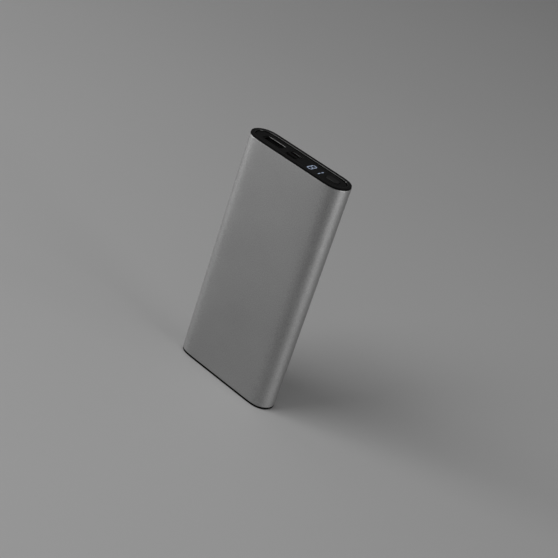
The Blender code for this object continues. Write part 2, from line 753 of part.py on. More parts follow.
def tray():
    mesh = prism([tube_outline(TUBE_WALL + FIT)], TRAY_BASE, TRAY_TOP)
    body = part("inner_tray", mesh, FINISH["tray_plastic"])
    through = 2 * TUBE_THICKNESS
    cells = box(2 * BAY_HALF_WIDTH, through, BAY_BASE, BAR_BASE)
    boards = box(2 * BAY_HALF_WIDTH, through, BAR_TOP, TRAY_TOP + OVER)
    cut(body, helper("cell_bay", cells), helper("board_bay", boards))
    slot = box(
        2 * (BAY_HALF_WIDTH + SLOT_DEPTH),
        BOARD_THICKNESS + 2 * SEAT,
        BAR_TOP - SEAT,
        TRAY_TOP + OVER / 2,
        (0.0, BOARD_Y),
    )
    cut(body, helper("board_slot", slot))
    notch = box(NOTCH_WIDTH, NOTCH_HEIGHT, BAR_BASE - OVER, BAR_TOP + OVER)
    cut(body, helper("wire_notch", notch))
    for side in (-1, 1):
        for word, base, top in (
            ("upper", TRAY_TOP - SCREW_LENGTH, TRAY_TOP + OVER),
            ("lower", TRAY_BASE - OVER, TRAY_BASE + SCREW_LENGTH),
        ):
            bore = circle(PILOT, (side * SCREW_X, 0.0))
            cut(body, helper(f"pilot_{word}", prism([bore], base, top)))


def cells():
    width = 2 * (BAY_HALF_WIDTH - CELL_FIT)
    deep = INNER_HALF_THICKNESS - SEAT - PAD_FOAM - SEAT
    inner = TAPE_CELL / 2 + SEAT
    strip_top = BAR_BASE - WIRE_RUN
    tab_top = strip_top - CELL_FIT
    terrace_top = tab_top - TAB_LENGTH
    body_top = terrace_top - TERRACE_LENGTH
    body_base = BAY_BASE + CELL_FIT
    for side, word in ((-1, "front"), (1, "rear")):
        middle = side * (deep + inner) / 2
        pouch = box(width, deep - inner, body_base, body_top, (0.0, middle))
        round_edges(pouch, CELL_ROUND, 2, (body_base, body_top))
        cell = part(f"cell_{word}", pouch, FINISH["pouch"])
        face = STRIP_THICKNESS / 2 + SEAT
        terrace = box(
            width - 2 * CELL_ROUND,
            TERRACE_THICKNESS,
            body_top - OVER,
            terrace_top,
            (0.0, side * (inner + CELL_ROUND + TERRACE_THICKNESS / 2)),
        )
        join(cell, helper(f"terrace_{word}", terrace))
        reach = inner + CELL_ROUND + TERRACE_THICKNESS / 2
        for x in (-TAB_SPACING / 2, TAB_SPACING / 2):
            tab = box(
                TAB_WIDTH,
                reach - face,
                terrace_top - OVER,
                terrace_top + OVER / 2,
                (x, side * (reach + face) / 2),
            )
            join(cell, helper(f"tab_foot_{word}", tab))
            tab = box(
                TAB_WIDTH,
                TAB_THICKNESS,
                terrace_top,
                tab_top,
                (x, side * (face + TAB_THICKNESS / 2)),
            )
            join(cell, helper(f"tab_{word}", tab))
        pad = box(
            min(width, TUBE_WIDTH - TUBE_THICKNESS),
            PAD_FOAM,
            body_base + CELL_ROUND,
            body_top - CELL_ROUND,
            (0.0, side * (deep + SEAT + PAD_FOAM / 2)),
        )
        part(f"{word}_foam_pad", pad, FINISH["foam"])
    tape = box(width - 2 * CELL_ROUND, TAPE_CELL, body_base + CELL_ROUND, body_top - CELL_ROUND)
    part("cell_tape", tape, FINISH["adhesive"])

    for x, word in ((-TAB_SPACING / 2, "positive"), (TAB_SPACING / 2, "negative")):
        strip = box(TAB_WIDTH, STRIP_THICKNESS, strip_top - STRIP_LENGTH, strip_top, (x, 0.0))
        part(f"{word}_strip", strip, FINISH["nickel"])
        lead(word, x, strip_top + SEAT)


def lead(word, x, start):
    """Insulated wire from the strip, through the notch in the tray, to the board's front face."""
    radius = WIRE_DIAMETER / 2
    resting = BOARD_FRONT - SEAT - radius
    curve = bpy.data.curves.new(f"{word}_lead", "CURVE")
    curve.dimensions = "3D"
    curve.bevel_depth = radius
    curve.bevel_resolution = 2
    curve.resolution_u = 8
    curve.use_fill_caps = True
    spline = curve.splines.new("BEZIER")
    spline.bezier_points.add(2)
    heights = (start, BAR_BASE, BOARD_BASE + WIRE_REACH)
    for index, point in enumerate(spline.bezier_points):
        place = Vector((x, resting if index else 0.0, heights[index]))
        point.co = place
        point.handle_left = place - Vector((0.0, 0.0, WIRE_RUN / 2))
        point.handle_right = place + Vector((0.0, 0.0, WIRE_RUN / 2))
    curve.materials.append(FINISH[f"{word}_wire"])
    item = bpy.data.objects.new(f"{word}_lead", curve)
    PARTS.objects.link(item)
    item.parent = BANK
    item.modifiers.new("weld", "WELD").merge_threshold = 1e-6


def lower_end():
    mesh = prism([tube_outline(TUBE_WALL + FIT)], TUBE_BASE, FRAME_TOP)
    plug = part("bottom_frame", mesh, FINISH["frame_plastic"])
    seat_top = TUBE_BASE + PAD_HEIGHT + SEAT
    recess = prism([tube_outline(FRAME_RIM)], TUBE_BASE - OVER, seat_top)
    cut(plug, helper("frame_recess", recess))
    for side in (-1, 1):
        bore = circle(PILOT, (side * SCREW_X, 0.0))
        seat = circle(SCREW_HEAD + 2 * FIT, (side * SCREW_X, 0.0))
        cut(plug, helper("frame_bore", prism([bore], TUBE_BASE - OVER, FRAME_TOP + OVER)))
        cut(plug, helper("frame_seat", prism([seat], TUBE_BASE - OVER, seat_top + SCREW_RECESS)))

    mesh = prism([tube_outline(CAP_INSET)], 0.0, TUBE_BASE - SEAM)
    round_edges(mesh, COVER_ROUND, 3, (0.0,))
    cover = part("bottom_cover", mesh, FINISH["cap_plastic"])
    pad = prism([tube_outline(FRAME_RIM + FIT)], TUBE_BASE - OVER, TUBE_BASE + PAD_HEIGHT)
    join(cover, helper("cover_pad", pad))


def screw(name, x, under_head, way):
    """Pan-head screw with a cross recess; way is +1 when the head faces up."""
    seat = frame(f"{name}_seat", (x, 0.0, under_head), (0.0 if way > 0 else math.pi, 0.0, 0.0))
    head = prism([circle(SCREW_HEAD)], 0.0, SCREW_HEAD_HEIGHT)
    round_edges(head, SCREW_HEAD_HEIGHT / 4, 2, (SCREW_HEAD_HEIGHT,))
    body = part(name, head, FINISH["screw_steel"], seat)
    shank = prism([circle(SCREW_DIAMETER)], -SCREW_LENGTH, SCREW_HEAD_HEIGHT / 2)
    join(body, helper(f"{name}_shank", shank, seat))
    arm, slot = SCREW_HEAD / 2, SCREW_HEAD / 7
    for word, wide, deep in (("a", arm, slot), ("b", slot, arm)):
        cross = box(wide, deep, SCREW_HEAD_HEIGHT / 2, SCREW_HEAD_HEIGHT + OVER)
        cut(body, helper(f"{name}_cross_{word}", cross, seat))


def screws():
    upper = FLOOR_TOP - SCREW_RECESS + SEAT
    lower = TUBE_BASE + PAD_HEIGHT + SEAT + SCREW_RECESS - SEAT
    for side, word in ((-1, "left"), (1, "right")):
        screw(f"bezel_screw_{word}", side * SCREW_X, upper, 1)
        screw(f"frame_screw_{word}", side * SCREW_X, lower, -1)


clear_scene()
PARTS = new_collection("power_bank")
CUTTERS = new_collection("cutters")
BANK = bpy.data.objects.new("power_bank", None)
PARTS.objects.link(BANK)

FINISH = {
    "aluminium": material("anodised_aluminium", (0.30, 0.30, 0.31), 0.45, 1.0),
    "cap_plastic": material("black_cap_plastic", (0.008, 0.008, 0.008), 0.40),
    "fascia_plastic": material("black_fascia_plastic", (0.010, 0.010, 0.010), 0.45),
    "button_plastic": material("black_button_plastic", (0.010, 0.010, 0.010), 0.35),
    "smoked_window": material("smoked_window", (0.006, 0.006, 0.007), 0.10),
    "port_steel": material("port_steel", (0.45, 0.44, 0.42), 0.30, 1.0),
    "insulator": material("insulator_plastic", (0.012, 0.012, 0.012), 0.50),
    "contact_gold": material("contact_gold", (0.85, 0.62, 0.25), 0.25, 1.0),
    "display_plastic": material("display_plastic", (0.02, 0.02, 0.02), 0.60),
    "diffuser": material("milk_diffuser", (0.80, 0.82, 0.85), 0.50),
    "foam": material("black_foam", (0.015, 0.015, 0.015), 0.95),
    "adhesive": material("adhesive_film", (0.30, 0.28, 0.24), 0.60),
    "switch_plastic": material("switch_plastic", (0.03, 0.03, 0.03), 0.50),
    "plunger_plastic": material("plunger_plastic", (0.05, 0.05, 0.05), 0.50),
    "board": material("green_board", (0.01, 0.09, 0.03), 0.40),
    "ferrite": material("ferrite", (0.05, 0.05, 0.05), 0.70),
    "chip": material("chip_epoxy", (0.02, 0.02, 0.02), 0.60),
    "ceramic": material("ceramic", (0.35, 0.22, 0.12), 0.50),
    "can": material("capacitor_can", (0.60, 0.60, 0.62), 0.30, 1.0),
    "film": material("insulation_film", (0.55, 0.35, 0.05), 0.40),
    "tray_plastic": material("tray_plastic", (0.04, 0.04, 0.04), 0.60),
    "pouch": material("pouch_foil", (0.45, 0.46, 0.47), 0.45),
    "nickel": material("nickel_strip", (0.55, 0.52, 0.46), 0.30, 1.0),
    "positive_wire": material("red_wire", (0.40, 0.01, 0.01), 0.50),
    "negative_wire": material("black_wire", (0.01, 0.01, 0.01), 0.50),
    "frame_plastic": material("frame_plastic", (0.03, 0.03, 0.03), 0.60),
    "screw_steel": material("screw_steel", (0.40, 0.40, 0.40), 0.35, 1.0),
}

tube_shell()
top_bezel()
fascia()
display()
push_button()
usb_a_port()
small_ports()
circuit_board()
tray()
cells()
lower_end()
screws()
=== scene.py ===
import bpy
import bmesh
import math
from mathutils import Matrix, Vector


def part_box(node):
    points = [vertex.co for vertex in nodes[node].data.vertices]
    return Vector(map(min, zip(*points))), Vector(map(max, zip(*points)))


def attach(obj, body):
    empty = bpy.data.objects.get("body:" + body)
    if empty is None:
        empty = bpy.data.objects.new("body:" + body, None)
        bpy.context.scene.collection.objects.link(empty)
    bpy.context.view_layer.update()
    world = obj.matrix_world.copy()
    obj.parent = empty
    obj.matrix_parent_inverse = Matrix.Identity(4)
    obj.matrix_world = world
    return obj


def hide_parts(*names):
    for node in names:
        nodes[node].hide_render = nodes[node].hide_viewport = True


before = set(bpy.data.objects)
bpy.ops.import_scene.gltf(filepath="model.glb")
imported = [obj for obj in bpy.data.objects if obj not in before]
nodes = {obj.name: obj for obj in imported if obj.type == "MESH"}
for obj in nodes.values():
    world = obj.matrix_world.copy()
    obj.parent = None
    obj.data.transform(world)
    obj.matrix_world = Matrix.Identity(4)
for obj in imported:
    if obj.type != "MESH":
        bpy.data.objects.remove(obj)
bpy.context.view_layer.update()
print("frame loaded,", len(nodes), "CAD nodes")


def toLinear(code):  # sRGB hex to the linear values that the shader takes
    parts = [int(code[i:i + 2], 16) / 255 for i in (1, 3, 5)]
    return [c / 12.92 if c <= 0.04045 else ((c + 0.055) / 1.055) ** 2.4 for c in parts] + [1.0]


def addNode(tree, kind, settings=None, links=None):  # keys are socket names or numbers, or properties
    node = tree.nodes.new(kind)
    for key, value in (settings or {}).items():
        if isinstance(key, int) or key in node.inputs:
            node.inputs[key].default_value = value
        else:
            setattr(node, key, value)
    for key, (source, output) in (links or {}).items():
        tree.links.new(source.outputs[output], node.inputs[key])
    return node


def newMaterial(name):
    material = bpy.data.materials.new(name)
    material.use_nodes = True
    tree = material.node_tree
    tree.nodes.clear()
    place = addNode(tree, "ShaderNodeTexCoord")
    return material, tree, place


def finish(name, spec):
    # one solid finish from its dictionary: two close tones, a roughness band and a fine relief
    material, tree, place = newMaterial(name)
    cloud = addNode(tree, "ShaderNodeTexNoise",
                    {"Scale": 1 / spec["patch"], "Detail": 4.0, "Roughness": 0.55},
                    {"Vector": (place, "Object")})
    tone = addNode(tree, "ShaderNodeMix",
                   {"data_type": "RGBA", 6: toLinear(spec["tones"][0]), 7: toLinear(spec["tones"][1])},
                   {0: (cloud, "Fac")})
    grit = addNode(tree, "ShaderNodeTexNoise",
                   {"Scale": 1 / spec["grit"], "Detail": 2.0, "Roughness": 0.6},
                   {"Vector": (place, "Object")})
    rough = addNode(tree, "ShaderNodeMapRange",
                    {"From Min": 0.3, "From Max": 0.7,
                     "To Min": spec["rough"][0], "To Max": spec["rough"][1]},
                    {"Value": (grit, "Fac")})
    relief = addNode(tree, "ShaderNodeBump",
                     {"Strength": spec["relief"], "Distance": spec["grit"] / 3},
                     {"Height": (grit, "Fac")})
    constants = {"Metallic": spec.get("metal", 0.0), "Specular IOR Level": spec.get("shine", 0.5)}
    if "ior" in spec:
        constants["IOR"] = spec["ior"]
    shader = addNode(tree, "ShaderNodeBsdfPrincipled", constants,
                     {"Base Color": (tone, 2), "Roughness": (rough, "Result"), "Normal": (relief, "Normal")})
    addNode(tree, "ShaderNodeOutputMaterial", None, {"Surface": (shader, "BSDF")})
    return material


# lengths are metres: patch is the size of a slow tone change, grit the size of one grain
finishes = {
    # cap ABS, spark-eroded mould: a dead, even black that hardly catches light; its tone is darker than the
    # rim's top, as painted shade on the cap's sides and on the foot
    "sparkBlackPaintedShade": {"tones": ("#070707", "#0c0c0c"), "patch": 0.02, "grit": 0.00022,
                      "rough": (0.56, 0.66), "relief": 0.12, "ior": 1.53, "shine": 0.05},
    # the sunk panel, moulded finer than the cap's sides; the rim's top takes the same lighter black, which
    # on the cap is painted light against its painted-shade sides
    "fineBlackAndPaintedLightRing": {"tones": ("#0f0f0f", "#151515"), "patch": 0.015, "grit": 0.00018,
                     "rough": (0.46, 0.56), "relief": 0.10, "ior": 1.49, "shine": 0.17},
    # ABS from a polished part of the mould: the recess lip, which draws a thin bright line
    "polishedBlackAbs": {"tones": ("#101010", "#161616"), "patch": 0.004, "grit": 0.0003,
                         "rough": (0.26, 0.34), "relief": 0.04, "ior": 1.53, "shine": 0.9},
    # button ABS, handled: a slightly uneven satin
    "handledBlackAbs": {"tones": ("#0f0f0f", "#151515"), "patch": 0.004, "grit": 0.0003,
                        "rough": (0.42, 0.52), "relief": 0.06, "ior": 1.53, "shine": 0.35},
    # smoked polycarbonate with a matt hard coat: as dark as the panel round it
    "smokedPolycarbonate": {"tones": ("#0e0e10", "#131315"), "patch": 0.01, "grit": 0.0004,
                            "rough": (0.44, 0.52), "relief": 0.04, "ior": 1.585, "shine": 0.2},
    # nickel-plated steel strip, stamped: dull grey with faint rolling haze
    "nickelPlatedSteel": {"tones": ("#5e5e5e", "#707070"), "patch": 0.003, "grit": 0.00025,
                          "rough": (0.22, 0.34), "relief": 0.06, "metal": 1.0},
    # gold flash on brass contacts
    "goldPlatedBrass": {"tones": ("#c79a4a", "#d8b062"), "patch": 0.002, "grit": 0.0002,
                        "rough": (0.18, 0.28), "relief": 0.05, "metal": 1.0},
    # liquid-crystal polymer insulators: dull, slightly streaky black
    "blackLcp": {"tones": ("#050505", "#0a0a0a"), "patch": 0.0015, "grit": 0.00015,
                 "rough": (0.60, 0.70), "relief": 0.12, "ior": 1.6, "shine": 0.05},
    # tray, lower frame, switch and display box: plain dark ABS, straight from the mould
    "darkTrayAbs": {"tones": ("#2a2a2a", "#323232"), "patch": 0.01, "grit": 0.0003,
                    "rough": (0.50, 0.62), "relief": 0.15, "ior": 1.53},
    # milk acrylic of the segment block
    "milkAcrylic": {"tones": ("#dfe3ea", "#eef0f4"), "patch": 0.004, "grit": 0.0004,
                    "rough": (0.40, 0.50), "relief": 0.03, "ior": 1.49},
    # open-cell polyurethane foam, 0.4 mm pores
    "blackFoam": {"tones": ("#161616", "#262626"), "patch": 0.0008, "grit": 0.0004,
                  "rough": (0.90, 1.00), "relief": 0.60},
    # acrylic adhesive on a paper-thin carrier
    "adhesiveFilm": {"tones": ("#b4aa96", "#c2b9a6"), "patch": 0.006, "grit": 0.0004,
                     "rough": (0.45, 0.60), "relief": 0.10},
    # glass-epoxy board under green solder mask, 0.5 mm weave just showing
    "greenBoard": {"tones": ("#0d4a26", "#125a30"), "patch": 0.0005, "grit": 0.0005,
                   "rough": (0.30, 0.42), "relief": 0.10},
    # pressed ferrite powder
    "ferrite": {"tones": ("#3a3a3b", "#474748"), "patch": 0.0006, "grit": 0.0002,
                "rough": (0.65, 0.80), "relief": 0.30},
    # chip epoxy, matt from the mould
    "chipEpoxy": {"tones": ("#1b1b1c", "#232324"), "patch": 0.001, "grit": 0.00015,
                  "rough": (0.55, 0.70), "relief": 0.20},
    # fired capacitor ceramic
    "capCeramic": {"tones": ("#9a7f5c", "#ab8f6a"), "patch": 0.0008, "grit": 0.0002,
                   "rough": (0.45, 0.60), "relief": 0.10},
    # drawn aluminium can
    "drawnAluminium": {"tones": ("#b9babc", "#c8c9cb"), "patch": 0.002, "grit": 0.0002,
                       "rough": (0.25, 0.36), "relief": 0.05, "metal": 1.0},
    # amber polyimide film
    "polyimideFilm": {"tones": ("#b98a2a", "#c89a38"), "patch": 0.01, "grit": 0.0006,
                      "rough": (0.22, 0.32), "relief": 0.04},
    # pouch laminate: dull aluminium under nylon, with slow waves
    "pouchLaminate": {"tones": ("#a9abad", "#b9bbbd"), "patch": 0.012, "grit": 0.0012,
                      "rough": (0.38, 0.50), "relief": 0.12, "metal": 0.6},
    # rolled nickel strip
    "rolledNickel": {"tones": ("#b5afa3", "#c3bdb1"), "patch": 0.002, "grit": 0.0002,
                     "rough": (0.26, 0.38), "relief": 0.08, "metal": 1.0},
    # silicone wire jackets
    "redSilicone": {"tones": ("#a01512", "#b01a16"), "patch": 0.004, "grit": 0.0003,
                    "rough": (0.50, 0.62), "relief": 0.08},
    "blackSilicone": {"tones": ("#161616", "#1d1d1d"), "patch": 0.004, "grit": 0.0003,
                      "rough": (0.50, 0.62), "relief": 0.08},
    # zinc-plated screws
    "zincPlatedSteel": {"tones": ("#9a9c9f", "#aeb0b3"), "patch": 0.0015, "grit": 0.0002,
                        "rough": (0.28, 0.40), "relief": 0.08, "metal": 1.0},
}
made = {name: finish(name, spec) for name, spec in finishes.items()}


# anodised aluminium, extruded, then bead-blasted: an even grey with a soft sheen and a fine sparkle
blast = {"grey": ("#c0c0c0", "#d1d1d1"), "cloud": 0.03, "bead": 0.0005, "fleck": ("#888888", "#ffffff"),
         "rough": (0.44, 0.56), "depth": 0.16}


def blastedAluminium():
    material, tree, place = newMaterial("beadBlastedAluminium")
    cloud = addNode(tree, "ShaderNodeTexNoise", {"Scale": 1 / blast["cloud"], "Detail": 3.0},
                    {"Vector": (place, "Object")})
    tone = addNode(tree, "ShaderNodeMix",
                   {"data_type": "RGBA", 6: toLinear(blast["grey"][0]), 7: toLinear(blast["grey"][1])},
                   {0: (cloud, "Fac")})
    # real bead marks are about 0.1 mm; drawn at 0.5 mm so that the grain shows in the render
    beads = addNode(tree, "ShaderNodeTexNoise",
                    {"Scale": 1 / blast["bead"], "Detail": 3.0, "Roughness": 0.7},
                    {"Vector": (place, "Object")})
    fleck = addNode(tree, "ShaderNodeMix",
                    {"data_type": "RGBA", 6: toLinear(blast["fleck"][0]), 7: toLinear(blast["fleck"][1])},
                    {0: (beads, "Fac")})
    mixed = addNode(tree, "ShaderNodeMix", {"data_type": "RGBA", "blend_type": "MULTIPLY", 0: 1.0},
                    {6: (tone, 2), 7: (fleck, 2)})
    rough = addNode(tree, "ShaderNodeMapRange",
                    {"From Min": 0.3, "From Max": 0.7,
                     "To Min": blast["rough"][0], "To Max": blast["rough"][1]},
                    {"Value": (beads, "Fac")})
    dents = addNode(tree, "ShaderNodeBump", {"Strength": blast["depth"], "Distance": blast["bead"] / 4},
                    {"Height": (beads, "Fac")})
    shader = addNode(tree, "ShaderNodeBsdfPrincipled", {"Metallic": 1.0},
                     {"Base Color": (mixed, 2), "Roughness": (rough, "Result"), "Normal": (dents, "Normal")})
    addNode(tree, "ShaderNodeOutputMaterial", None, {"Surface": (shader, "BSDF")})
    return material


made["beadBlastedAluminium"] = blastedAluminium()

# lit segment: cold white light through milk acrylic, a little uneven along each bar
glow = {"tones": ("#93a4c0", "#b4c0d4"), "patch": 0.0012, "strength": 0.39, "rough": 0.4}


def litSegment():
    material, tree, place = newMaterial("litMilkAcrylic")
    spread = addNode(tree, "ShaderNodeTexNoise", {"Scale": 1 / glow["patch"], "Detail": 1.0},
                     {"Vector": (place, "Object")})
    shade = addNode(tree, "ShaderNodeMix",
                    {"data_type": "RGBA", 6: toLinear(glow["tones"][0]), 7: toLinear(glow["tones"][1])},
                    {0: (spread, "Fac")})
    shader = addNode(tree, "ShaderNodeBsdfPrincipled",
                     {"Emission Strength": glow["strength"], "Roughness": glow["rough"]},
                     {"Base Color": (shade, 2), "Emission Color": (shade, 2)})
    addNode(tree, "ShaderNodeOutputMaterial", None, {"Surface": (shader, "BSDF")})
    return material


made["litMilkAcrylic"] = litSegment()
print("materials made:", len(made))

hair = 1e-6  # places closer than this are taken as one
sharpBend = 0.7  # radians between two faces, above which their edge can be eased
endTilt = 0.99  # z of a face's normal, above which it is an end


def deselect():
    if bpy.context.object and bpy.context.object.mode != "OBJECT":
        bpy.ops.object.mode_set(mode="OBJECT")
    bpy.ops.object.select_all(action="DESELECT")


def activate(piece):
    deselect()
    bpy.context.view_layer.objects.active = piece
    piece.select_set(True)


def block(name, low, high):  # a box between two corners, its origin at the scene's
    deselect()
    bpy.ops.mesh.primitive_cube_add(size=1, location=[(a + b) / 2 for a, b in zip(low, high)])
    piece = bpy.context.object
    piece.name = piece.data.name = name
    piece.scale = [b - a for a, b in zip(low, high)]
    bpy.ops.object.transform_apply(location=True, rotation=True, scale=True)
    return piece


def pick(piece, kind, test):  # edit mode, with only the edges or faces that pass the test selected
    activate(piece)
    bpy.ops.object.mode_set(mode="EDIT")
    bpy.ops.mesh.select_mode(type=kind)
    bpy.ops.mesh.select_all(action="DESELECT")
    work = bmesh.from_edit_mesh(piece.data)
    for item in (work.edges if kind == "EDGE" else work.faces):
        if test(item):
            item.select_set(True)
    bmesh.update_edit_mesh(piece.data)


def weld():  # merges doubled points, turns the faces outwards and leaves edit mode
    bpy.ops.mesh.select_all(action="SELECT")
    bpy.ops.mesh.remove_doubles(threshold=hair)
    bpy.ops.mesh.normals_make_consistent(inside=False)
    work = bmesh.from_edit_mesh(bpy.context.object.data)
    if work.calc_volume(signed=True) < 0:  # a thin tube can come out inside out
        bpy.ops.mesh.flip_normals()
    bpy.ops.object.mode_set(mode="OBJECT")


def facesUp(face):
    return face.normal.z > endTilt


def facesDown(face):
    return face.normal.z < -endTilt


def isEnd(face):
    return facesUp(face) or facesDown(face)


def upright(edge):
    a, b = (v.co for v in edge.verts)
    return abs(b.z - a.z) > hair and (b - a).xy.length < hair / 10


def edgeMiddle(edge):
    return (edge.verts[0].co + edge.verts[1].co) / 2


def slab(name, low, high, radius, segments):  # a block with rounded uprights
    piece = block(name, low, high)
    pick(piece, "EDGE", upright)
    bpy.ops.mesh.bevel(offset=radius, segments=segments, affect="EDGES", clamp_overlap=True)
    weld()
    return piece


# the flats of the section run into its round sides over a stretch, with no hard line between them
section = {"segments": 40, "blend": 0.008}


def oval(name, low, high):  # a slab with full-round sides and soft shoulders
    radius = (high[1] - low[1]) / 2
    piece = slab(name, low, high, radius, section["segments"])
    step = radius * math.pi / 2 / section["segments"]
    cuts = round((high[0] - low[0] - 2 * radius) / step) - 1

    def alongFlat(edge):  # the long edges, many steps from end to end
        a, b = (v.co for v in edge.verts)
        return abs(b.x - a.x) > 4 * step and abs(b.y - a.y) < hair / 10
    pick(piece, "FACE", isEnd)
    bpy.ops.mesh.delete(type="ONLY_FACE")  # open ends, so that only the walls are cut up
    pick(piece, "EDGE", alongFlat)
    bpy.ops.mesh.subdivide(number_cuts=cuts)
    bpy.ops.object.mode_set(mode="OBJECT")
    soft = piece.modifiers.new("softShoulders", "SMOOTH")
    soft.factor = 1.0
    soft.iterations = round((section["blend"] / step) ** 2 / 4)  # passes that spread a bend over the blend
    soft.use_z = False
    bpy.ops.object.modifier_apply(modifier=soft.name)
    reach = max(v.co.x for v in piece.data.vertices)
    piece.scale.x = high[0] / reach  # puts back the ends, which smoothing draws in
    bpy.ops.object.transform_apply(location=False, rotation=False, scale=True)
    pick(piece, "EDGE", lambda edge: True)
    bpy.ops.mesh.fill_holes(sides=0)
    weld()
    return piece


def easeEdges(piece, heights, width, segments=2, test=None):  # bevel the sharp edges at some heights
    def atHeight(edge):
        level = any(all(abs(v.co.z - z) < 2 * hair for v in edge.verts) for z in heights)
        sharp = len(edge.link_faces) == 2 and edge.calc_face_angle() > sharpBend
        return level and sharp and (test is None or test(edge))
    pick(piece, "EDGE", atHeight)
    bpy.ops.mesh.bevel(offset=width, segments=segments, affect="EDGES", clamp_overlap=True)
    weld()


def openEnds(piece, wall):  # turn a slab into a tube of that wall
    pick(piece, "FACE", isEnd)
    bpy.ops.mesh.inset(thickness=wall, use_even_offset=True)
    bpy.ops.mesh.bridge_edge_loops()
    weld()


def drawIn(piece, faces, inset, lift):  # an end drawn in by an inset, then pushed along z
    pick(piece, "FACE", faces)
    bpy.ops.mesh.inset(thickness=inset, use_even_offset=True)
    bpy.ops.mesh.extrude_region_move(TRANSFORM_OT_translate={"value": (0, 0, lift)})
    weld()


def combine(piece, tool, how):
    activate(piece)
    step = piece.modifiers.new("step", "BOOLEAN")
    step.operation, step.solver, step.object = how, "EXACT", tool
    bpy.ops.object.modifier_apply(modifier=step.name)
    bpy.data.objects.remove(tool)


def joinUp(name, parts):
    activate(parts[0])
    for extra in parts[1:]:
        extra.select_set(True)
    if len(parts) > 1:
        bpy.ops.object.join()
    parts[0].name = parts[0].data.name = name
    return parts[0]


smoothBelow = math.radians(35)  # sharper bends keep an edge


def settle(piece, skin, body, slot, *stands):
    activate(piece)
    bpy.ops.object.shade_smooth_by_angle(angle=smoothBelow)
    even = piece.modifiers.new("evenFaces", "WEIGHTED_NORMAL")
    even.keep_sharp = True  # broad faces stay flat beside their eased edges
    bpy.ops.object.modifier_apply(modifier=even.name)
    piece.data.materials.clear()
    piece.data.materials.append(made[skin])
    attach(piece, body)
    if stands:
        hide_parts(*stands)


def recoat(piece, skin, test):  # the faces that pass the test take another finish: a polished part of the mould for the lip, and a lighter black as painted light for the rim's top
    piece.data.materials.append(made[skin])
    pick(piece, "FACE", test)
    piece.active_material_index = len(piece.data.materials) - 1
    bpy.ops.object.material_slot_assign()
    bpy.ops.object.mode_set(mode="OBJECT")


# tube: thin-walled, so that its hidden inner face stays clear of the pieces inside
tube = {"wall": 0.0009, "chamfer": 0.00032}


def makeTube():
    low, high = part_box("tube_shell")
    piece = oval("tubeSkin", low, high)
    openEnds(piece, tube["wall"])
    easeEdges(piece, (low.z, high.z), tube["chamfer"])
    settle(piece, "beadBlastedAluminium", "case", "anodised_aluminium", "tube_shell")


makeTube()
print("tube made")


def grown(node, gap):  # a CAD node's corners, moved out by a gap in x and y
    low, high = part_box(node)
    return [low.x - gap, low.y - gap, low.z], [high.x + gap, high.y + gap, high.z]


def through(corners, base, top):  # the same corners between two heights
    low, high = corners
    return (low[0], low[1], base), (high[0], high[1], top)


def middle(node):
    low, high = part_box(node)
    return (low.x + high.x) / 2, (low.y + high.y) / 2


def around(centre, width, height, base, top):
    x, y = centre
    return (x - width / 2, y - height / 2, base), (x + width / 2, y + height / 2, top)


def inRow(centre, count, pitch):  # even places along x
    return [centre + (index - (count - 1) / 2) * pitch for index in range(count)]


# half the straight stretch between the two round sides
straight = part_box("tube_shell")[1].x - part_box("tube_shell")[1].y


def fromAxis(point):  # how far a point lies from that stretch
    return math.hypot(max(abs(point.x) - straight, 0.0), point.y)


past = 0.001  # cutters run past the faces that they cut
bite = 0.0001  # joined shapes run into each other

# upper cap: crowned rim over the tube's end, recess, floor and two skirts
cap = {
    "seam": 0.0001, "rimWidth": 0.00225, "crown": 0.00022, "plugInset": 0.0011, "fit": 0.00015,
    "lip": 0.0003, "lipTilt": 0.05,  # the tilt parts the lip's faces from the recess wall
    "floorTop": 0.0001, "floorBase": 0.0017,  # both below the tape
    "seatCorner": 0.0028,
    "skirtInset": 0.00138, "skirtWall": 0.001, "skirtHalf": 0.02, "skirtBite": 0.0005,
}
levels = {
    "tubeTop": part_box("tube_shell")[1].z,
    "panelTop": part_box("fascia_panel")[1].z,
    "floorTop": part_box("fascia_tape")[0].z - cap["floorTop"],
    "floorBase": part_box("fascia_tape")[0].z - cap["floorBase"],
}


